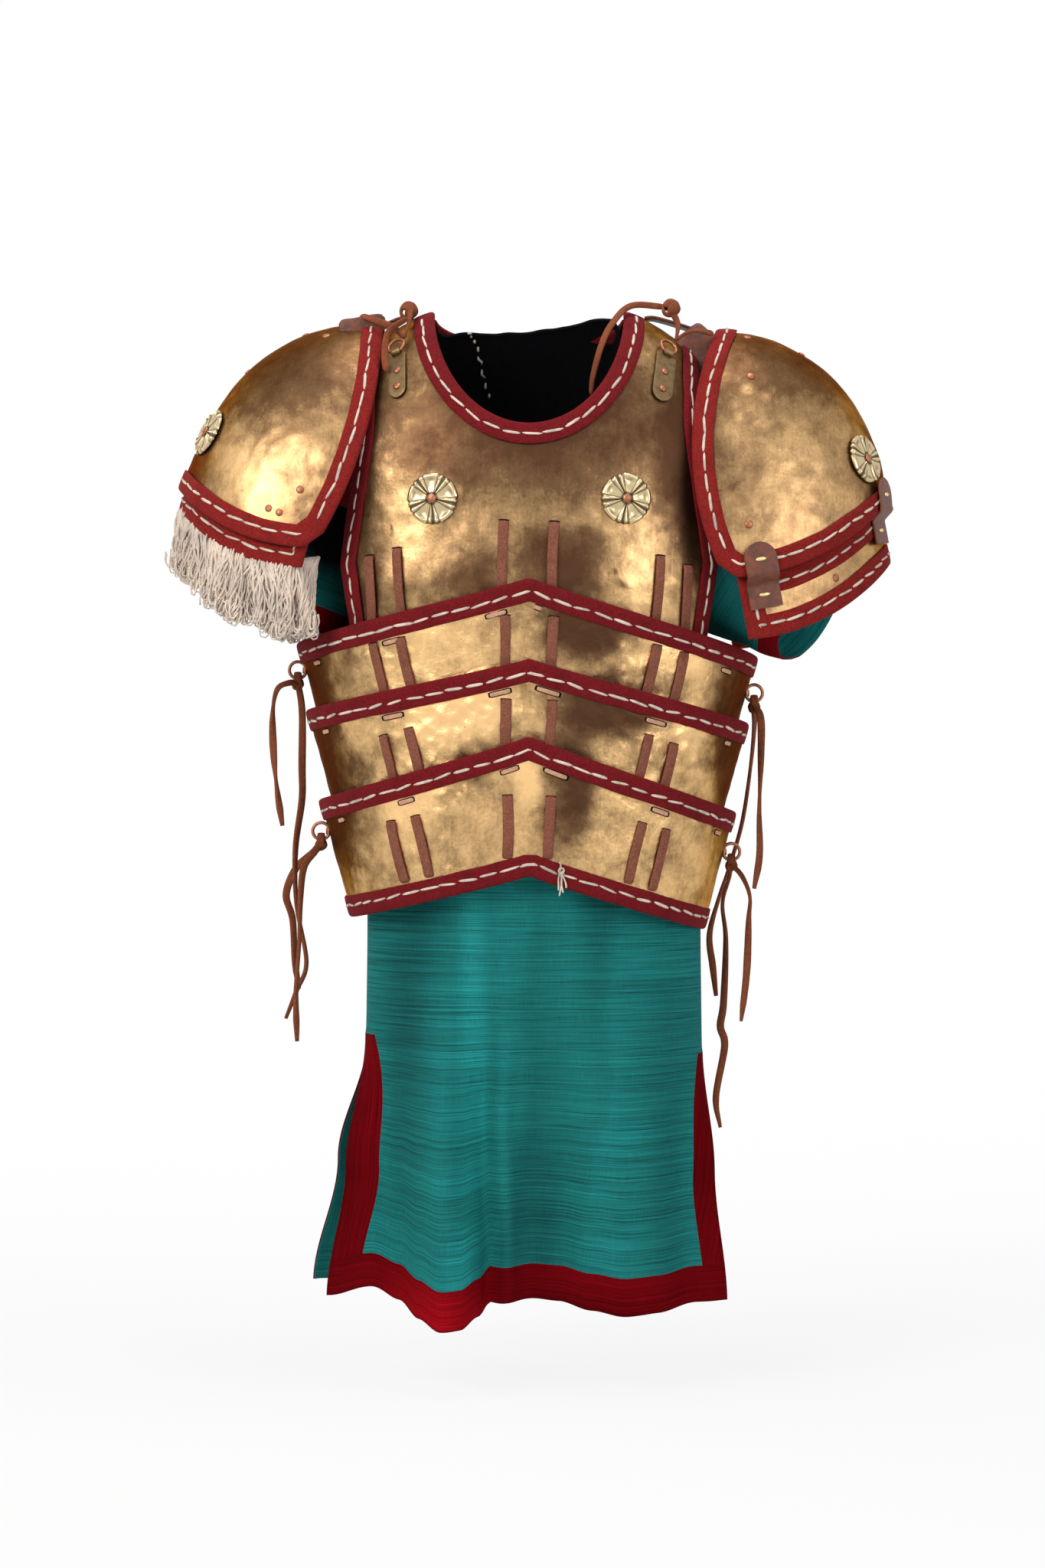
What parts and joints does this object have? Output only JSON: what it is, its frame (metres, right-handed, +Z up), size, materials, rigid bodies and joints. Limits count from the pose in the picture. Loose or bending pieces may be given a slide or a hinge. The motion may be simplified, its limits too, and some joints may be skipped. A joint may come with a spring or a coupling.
{
  "type": "plate cuirass with pauldrons",
  "caption": "Bronze banded cuirass with neck opening, hanging lames, domed pauldrons, arm plates and under tunic, bound in leather and laced with thongs.",
  "frame": {"origin": "between the wearer's shoulders at the ridge of the torso plates, where the armour hangs", "axes": "+Z up, the front faces -Y, +X to the wearer's left"},
  "size_m": [0.676, 0.2731, 0.9003],
  "materials": {
    "bronze": "hammered, dark patina in the hollows",
    "bright_brass": "satin",
    "copper": "satin, darkened",
    "red_suede": "matte nap",
    "brown_leather": "matte",
    "teal_silk": "slubbed plain weave",
    "black_felt": "matte felt",
    "cream_wool": "loose pile"
  },
  "bodies": {
    "torso": {"breastplate": "bronze", "back_plate": "bronze", "breastplate_neck_binding": "red_suede", "breastplate_armhole_binding_right": "red_suede", "breastplate_armhole_binding_left": "red_suede", "back_plate_neck_binding": "red_suede", "back_plate_armhole_binding_right": "red_suede", "back_plate_armhole_binding_left": "red_suede", "suspension_lace_1": "brown_leather", "shoulder_tab_right": "bright_brass", "shoulder_tab_left": "bright_brass", "shoulder_strap_right": "brown_leather", "shoulder_strap_left": "brown_leather", "breast_rosette_right": "bright_brass", "breast_rosette_left": "bright_brass", "felt_lining": "black_felt", "tunic": "teal_silk", "sleeve_right": "teal_silk", "sleeve_left": "teal_silk"},
    "front_lame_upper": {"front_lame_1": "bronze", "front_lame_1_binding": "red_suede", "suspension_lace_2": "brown_leather"},
    "front_lame_middle": {"front_lame_2": "bronze", "front_lame_2_binding": "red_suede", "suspension_lace_3": "brown_leather"},
    "front_lame_lower": {"front_lame_3": "bronze", "front_lame_3_binding": "red_suede", "front_hem_binding": "red_suede", "suspension_lace_4": "brown_leather"},
    "back_lame_upper": {"back_lame_1": "bronze", "back_lame_1_binding": "red_suede"},
    "back_lame_middle": {"back_lame_2": "bronze", "back_lame_2_binding": "red_suede"},
    "back_lame_lower": {"back_lame_3": "bronze", "back_lame_3_binding": "red_suede", "back_hem_binding": "red_suede"},
    "pauldron_right_assembly": {"pauldron_right": "bronze", "pauldron_right_binding": "red_suede", "pauldron_rosette_right": "bright_brass"},
    "arm_plate_right_assembly": {"arm_plate_right": "bronze", "arm_plate_right_binding": "red_suede", "wool_fringe": "copper"},
    "pauldron_left_assembly": {"pauldron_left": "bronze", "pauldron_left_binding": "red_suede", "pauldron_rosette_left": "bright_brass", "arm_tab_front_left": "brown_leather", "arm_tab_outer_left": "brown_leather"},
    "arm_plate_left_assembly": {"arm_plate_left": "bronze", "arm_plate_left_binding": "red_suede"},
    "ring_upper_right": {"side_ring_upper_right": "copper", "side_tie_upper_right": "brown_leather"},
    "ring_upper_left": {"side_ring_upper_left": "copper", "side_tie_upper_left": "brown_leather"},
    "ring_lower_right": {"side_ring_lower_right": "copper", "side_tie_lower_right": "brown_leather"},
    "ring_lower_left": {"side_ring_lower_left": "copper", "side_tie_lower_left": "brown_leather"},
    "ring_shoulder_right": {"shoulder_ring_right": "copper"},
    "ring_shoulder_left": {"shoulder_ring_left": "copper"}
  },
  "joints": [
    {"name": "front_lame_upper_lift", "type": "slide", "parent": "torso", "child": "front_lame_upper", "axis": [0, -0.1093, 0.994], "range_m": [0, 0.006]},
    {"name": "front_lame_middle_lift", "type": "slide", "parent": "front_lame_upper", "child": "front_lame_middle", "axis": [0, -0.1093, 0.994], "range_m": [0, 0.006]},
    {"name": "front_lame_lower_lift", "type": "slide", "parent": "front_lame_middle", "child": "front_lame_lower", "axis": [0, -0.1093, 0.994], "range_m": [0, 0.006]},
    {"name": "back_lame_upper_lift", "type": "slide", "parent": "torso", "child": "back_lame_upper", "axis": [0, 0.1093, 0.994], "range_m": [0, 0.006]},
    {"name": "back_lame_middle_lift", "type": "slide", "parent": "back_lame_upper", "child": "back_lame_middle", "axis": [0, 0.1093, 0.994], "range_m": [0, 0.006]},
    {"name": "back_lame_lower_lift", "type": "slide", "parent": "back_lame_middle", "child": "back_lame_lower", "axis": [0, 0.1093, 0.994], "range_m": [0, 0.006]},
    {"name": "pauldron_right_raise", "type": "hinge", "parent": "torso", "child": "pauldron_right_assembly", "pos_m": [-0.1353, 0, 0.0019], "axis": [0, 1, 0], "range_deg": [0, 45]},
    {"name": "pauldron_left_raise", "type": "hinge", "parent": "torso", "child": "pauldron_left_assembly", "pos_m": [0.173, 0, -0.004], "axis": [0, -1, 0], "range_deg": [0, 45]},
    {"name": "arm_plate_right_extend", "type": "slide", "parent": "pauldron_right_assembly", "child": "arm_plate_right_assembly", "axis": [-0.2425, 0, -0.9701], "range_m": [0, 0.022]},
    {"name": "arm_plate_left_retract", "type": "slide", "parent": "pauldron_left_assembly", "child": "arm_plate_left_assembly", "axis": [-0.1867, 0, 0.9824], "range_m": [0, 0.022]},
    {"name": "side_ring_upper_right_swing", "type": "hinge", "parent": "front_lame_upper", "child": "ring_upper_right", "pos_m": [-0.20368, -0.0027, -0.312], "axis": [0, 0, 1], "range_deg": [-8, 8]},
    {"name": "side_ring_upper_left_swing", "type": "hinge", "parent": "front_lame_upper", "child": "ring_upper_left", "pos_m": [0.19801, -0.0025, -0.333], "axis": [0, 0, 1], "range_deg": [-8, 8]},
    {"name": "side_ring_lower_right_swing", "type": "hinge", "parent": "front_lame_lower", "child": "ring_lower_right", "pos_m": [-0.18233, -0.0027, -0.459], "axis": [0, 0, 1], "range_deg": [-8, 8]},
    {"name": "side_ring_lower_left_swing", "type": "hinge", "parent": "front_lame_lower", "child": "ring_lower_left", "pos_m": [0.1772, -0.0026, -0.478], "axis": [0, 0, 1], "range_deg": [-8, 8]},
    {"name": "shoulder_ring_right_swing", "type": "hinge", "parent": "torso", "child": "ring_shoulder_right", "pos_m": [-0.11904, -0.07341, -0.02945], "axis": [-0.8956, 0.3369, -0.2906], "range_deg": [-25, 8]},
    {"name": "shoulder_ring_left_swing", "type": "hinge", "parent": "torso", "child": "ring_shoulder_left", "pos_m": [0.1244, -0.06964, -0.02955], "axis": [-0.8744, -0.2891, 0.3897], "range_deg": [-25, 8]}
  ]
}
